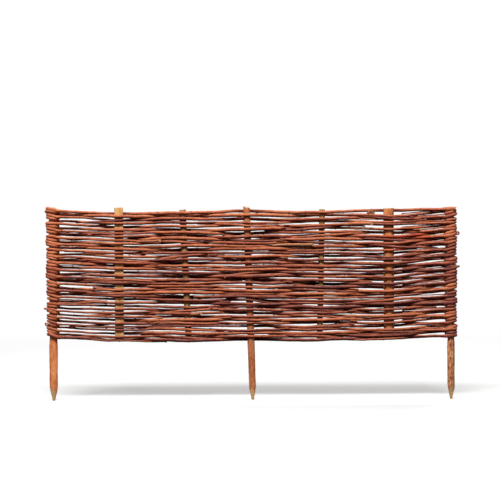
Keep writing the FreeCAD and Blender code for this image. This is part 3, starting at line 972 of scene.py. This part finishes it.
def curled_tip(name, side, height, number):
    """A tip that comes out of the turns round an end post and curls back into a small ring."""
    middle = Vector((side * CURL_MIDDLE, -0.006, height))
    line = [(Vector((side * CURL_START, -0.0145, height - 0.003)), 0.0028)]
    for eighth in range(9):
        turn = radians(200 + 45 * eighth)
        around = Vector((side * CURL_RADIUS * cos(turn), -0.0005 * eighth, CURL_RADIUS * sin(turn)))
        line.append((middle + around, CURL_GIRTH))
    grow(name, line, number, CURL_TONE, 1.0, TIP_KNOTS)


hooked_tip("right_loose_tip", 1, 0.342, 0.013, 0.0010, 101)
hooked_tip("left_loose_tip", -1, 0.221, 0.015, -0.0015, 102)
curled_tip("right_curled_tip", 1, 0.441, 103)
curled_tip("left_curled_tip", -1, 0.174, 104)


def cut_butt(name, start, end, thickness, tone, number, peeled):
    """A rod's thick end that comes out between the rods and lies in front of them."""
    out_of_weave, front = -0.0040, -0.0150
    along = end - start
    line = [
        (start + Vector((0, out_of_weave, 0)), thickness * 0.42),
        (start + along * 0.35 + Vector((0, (out_of_weave + front) / 2, 0.0005)), thickness * 0.46),
        (start + along * 0.70 + Vector((0, front, -0.0005)), thickness * 0.48),
        (start + along * 0.93 + Vector((0, front, 0)), thickness * 0.50),
        (end + Vector((0, front - 0.007, 0)), thickness * 0.52),
    ]
    grow(name, line, number, tone, 1.0, BUTT_KNOTS, peeled=peeled)


cut_butt("left_cut_butt", Vector((-0.350, 0, 0.421)), Vector((-0.268, 0, 0.425)), 0.0085, 0.56, 111, 0.1)
cut_butt("low_cut_butt", Vector((-0.235, 0, 0.209)), Vector((-0.148, 0, 0.213)), 0.0090, 0.58, 112, 0.25)
cut_butt("top_cut_butt", Vector((0.270, 0, 0.467)), Vector((0.350, 0, 0.471)), 0.0110, 0.64, 113, 0.1)
cut_butt("middle_cut_butt", Vector((0.060, 0, 0.410)), Vector((0.178, 0, 0.413)), 0.0075, 0.66, 114, 0.4)


STUB_WIDTH = 0.0255
STUB_ROUNDING = 0.003
STUB_LUMPS = 0.0009
STUB_SEED = 23
stub_back, stub_front = Vector((0.3470, 0.0065, 0.4980)), Vector((0.3500, -0.0070, 0.5000))
stub_length = (stub_front - stub_back).length


def stub_girth(along):
    """The stub is fullest in its middle and rounded towards both sawn ends."""
    from_middle = abs(2 * along / stub_length - 1)
    return STUB_WIDTH / 2 - STUB_ROUNDING * from_middle ** 3


stub_bark = stick_material(
    "brown stub bark",
    dark=(0.13, 0.040, 0.018, 1), middle=(0.26, 0.090, 0.038, 1), light=(0.42, 0.170, 0.068, 1),
    pores=0.3, cracks=0.5, pore_colour=(0.34, 0.16, 0.07, 1),
    wood=(0.25, 0.085, 0.034, 1), heart=(0.10, 0.033, 0.015, 1),
)
stub_relief = bark_relief(STUB_SEED, STUB_LUMPS, [])
knob = stick_mesh(
    "top_knob", stub_back, stub_front, stub_girth, stub_relief, lambda along: [], torn=0.001, seed=STUB_SEED
)
knob.data.materials.append(stub_bark)
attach(knob, "root")


# Setting: a pale floor under the points of the posts, a white background, soft studio light from the front,
# the back and above, and a camera straight in front of the hurdle.
FLOOR_LEVEL = -POST_POINT
FLOOR_REACH = 30
floor_mesh = bpy.data.meshes.new("floor")
floor_corners = [
    (x * FLOOR_REACH, y * FLOOR_REACH, FLOOR_LEVEL) for x, y in ((-1, -1), (1, -1), (1, 1), (-1, 1))
]
floor_mesh.from_pydata(floor_corners, [], [(0, 1, 2, 3)])
floor = bpy.data.objects.new("floor", floor_mesh)
bpy.context.scene.collection.objects.link(floor)
floor_paper = bpy.data.materials.new("pale floor")
floor_paper.use_nodes = True
paper_tree = floor_paper.node_tree
paper_shader = paper_tree.nodes["Principled BSDF"]
paper_shader.inputs["Roughness"].default_value = 0.9
paper_shader.inputs["Specular IOR Level"].default_value = 0.1
floor_place = add(paper_tree, "ShaderNodeTexCoord").outputs["Object"]
floor_way = add(paper_tree, "ShaderNodeVectorMath", {0: floor_place}, operation="LENGTH").outputs["Value"]
floor_seen = add(paper_tree, "ShaderNodeLightPath").outputs["Is Camera Ray"]
paper_colour = tinted(paper_tree, floor_seen, (0.15, 0.15, 0.15, 1), (0.90, 0.90, 0.89, 1))
paper_tree.links.new(paper_colour, paper_shader.inputs["Base Color"])
seen_far = times(paper_tree, between(paper_tree, floor_way, 0.9, 3.2), floor_seen)
white = add(paper_tree, "ShaderNodeEmission", {"Color": (1, 1, 1, 1), "Strength": 1.0})
faded = {0: seen_far, 1: paper_shader.outputs[0], 2: white.outputs[0]}
fade = add(paper_tree, "ShaderNodeMixShader", faded)
paper_tree.links.new(fade.outputs[0], paper_tree.nodes["Material Output"].inputs["Surface"])
floor_mesh.materials.append(floor_paper)

studio = bpy.data.worlds.new("studio")
bpy.context.scene.world = studio
studio.use_nodes = True
sky_tree = studio.node_tree
sky = sky_tree.nodes["Background"]
sky.inputs["Color"].default_value = (1.0, 1.0, 1.0, 1)
sky.inputs["Strength"].default_value = 0.04
backdrop = add(sky_tree, "ShaderNodeBackground", {"Color": (1, 1, 1, 1), "Strength": 1.0})
path = add(sky_tree, "ShaderNodeLightPath")
seen = maths(sky_tree, "MAXIMUM", path.outputs["Is Camera Ray"], path.outputs["Is Glossy Ray"])
seen = maths(sky_tree, "MAXIMUM", seen, path.outputs["Is Transmission Ray"])
sky_mix = add(sky_tree, "ShaderNodeMixShader", {0: seen, 1: sky.outputs[0], 2: backdrop.outputs[0]})
sky_tree.links.new(sky_mix.outputs[0], sky_tree.nodes["World Output"].inputs["Surface"])


def soft_lamp(name, place, target, size, power):
    lamp = bpy.data.lights.new(name, "AREA")
    lamp.shape = "RECTANGLE"
    lamp.size, lamp.size_y = size
    lamp.energy = power
    lamp_object = bpy.data.objects.new(name, lamp)
    lamp_object.location = place
    lamp_object.rotation_euler = (Vector(target) - Vector(place)).to_track_quat("-Z", "Y").to_euler()
    bpy.context.scene.collection.objects.link(lamp_object)


soft_lamp("front softbox", (-0.4, -2.6, 3.0), (0, 0, 0.3), (3.0, 1.3), 225)
soft_lamp("back softbox", (0.5, 2.4, 3.2), (0, 0, 0.3), (2.8, 1.2), 110)

SENSOR_WIDTH = 36.0
VIEW_DISTANCE = 6.0
VIEW_MIDDLE = -0.005
VIEW_WIDTH = 1.462
VIEW_HEIGHT = 0.397
VIEW_RISE = 0.16
VIEW_ROLL = radians(-0.3)
camera_data = bpy.data.cameras.new("camera")
camera_data.sensor_width = SENSOR_WIDTH
camera_data.lens = SENSOR_WIDTH * VIEW_DISTANCE / VIEW_WIDTH
camera = bpy.data.objects.new("camera", camera_data)
camera.location = (VIEW_MIDDLE, -VIEW_DISTANCE, VIEW_HEIGHT + VIEW_RISE)
view_way = (Vector((VIEW_MIDDLE, 0, VIEW_HEIGHT)) - camera.location).to_track_quat("-Z", "Y")
camera.rotation_euler = (view_way @ Quaternion((0, 0, 1), VIEW_ROLL)).to_euler()
bpy.context.scene.collection.objects.link(camera)
bpy.context.scene.camera = camera
bpy.context.scene.view_settings.view_transform = "Standard"
